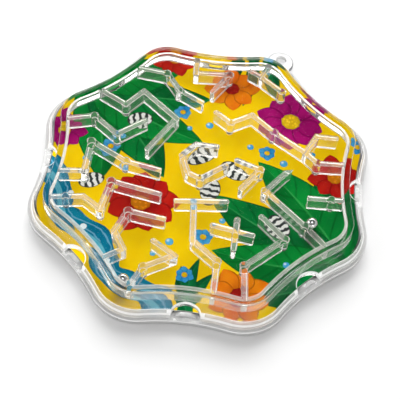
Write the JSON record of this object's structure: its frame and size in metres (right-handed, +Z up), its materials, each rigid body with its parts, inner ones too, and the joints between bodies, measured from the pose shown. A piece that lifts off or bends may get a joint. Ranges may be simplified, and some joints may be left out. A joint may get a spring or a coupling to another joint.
{
  "type": "ball maze dexterity puzzle",
  "caption": "Flat clear plastic hand-held ball maze with a wavy lobed outline, printed card floor, zig-zag maze walls under a clear window, loose steel balls and a hang tab.",
  "frame": {"origin": "centre of the eight-lobed case on the plane it rests on", "axes": "+Z up through the window, +Y towards the hang tab, +X to the right seen from above"},
  "size_m": [0.122, 0.1289, 0.0106],
  "materials": {
    "clear_cover": "clear polished polystyrene",
    "clear_base": "clear polished polystyrene",
    "printed_card": "printed and varnished board",
    "steel_ball": "polished steel"
  },
  "bodies": {
    "case": {"cover_window": "clear_cover", "cover_ring_wall": "clear_cover", "cover_flange": "clear_cover", "cover_skirt": "clear_cover", "maze_wall_01": "clear_cover", "maze_wall_02": "clear_cover", "maze_wall_03": "clear_cover", "maze_wall_04": "clear_cover", "maze_wall_05": "clear_cover", "maze_wall_06": "clear_cover", "maze_wall_07": "clear_cover", "maze_wall_08": "clear_cover", "maze_wall_09": "clear_cover", "maze_wall_10": "clear_cover", "maze_wall_11": "clear_cover", "maze_wall_12": "clear_cover", "maze_wall_13": "clear_cover", "maze_wall_14": "clear_cover", "maze_wall_15": "clear_cover", "maze_wall_16": "clear_cover", "maze_wall_17": "clear_cover", "printed_card": "printed_card", "base_plate": "clear_base", "base_rim": "clear_base", "card_support": "clear_base", "snap_tabs": "clear_base", "hang_tab": "clear_base"},
    "ball_one": {"ball_1": "steel_ball"},
    "ball_two": {"ball_2": "steel_ball"}
  },
  "joints": [
    {"name": "ball_1_roll", "type": "slide", "parent": "case", "child": "ball_one", "axis": [-0.1045, 0.9945, 0], "range_m": [0, 0.0205]},
    {"name": "ball_2_roll", "type": "slide", "parent": "case", "child": "ball_two", "axis": [-0.946, 0.3242, 0], "range_m": [-0.0085, 0.015]}
  ]
}
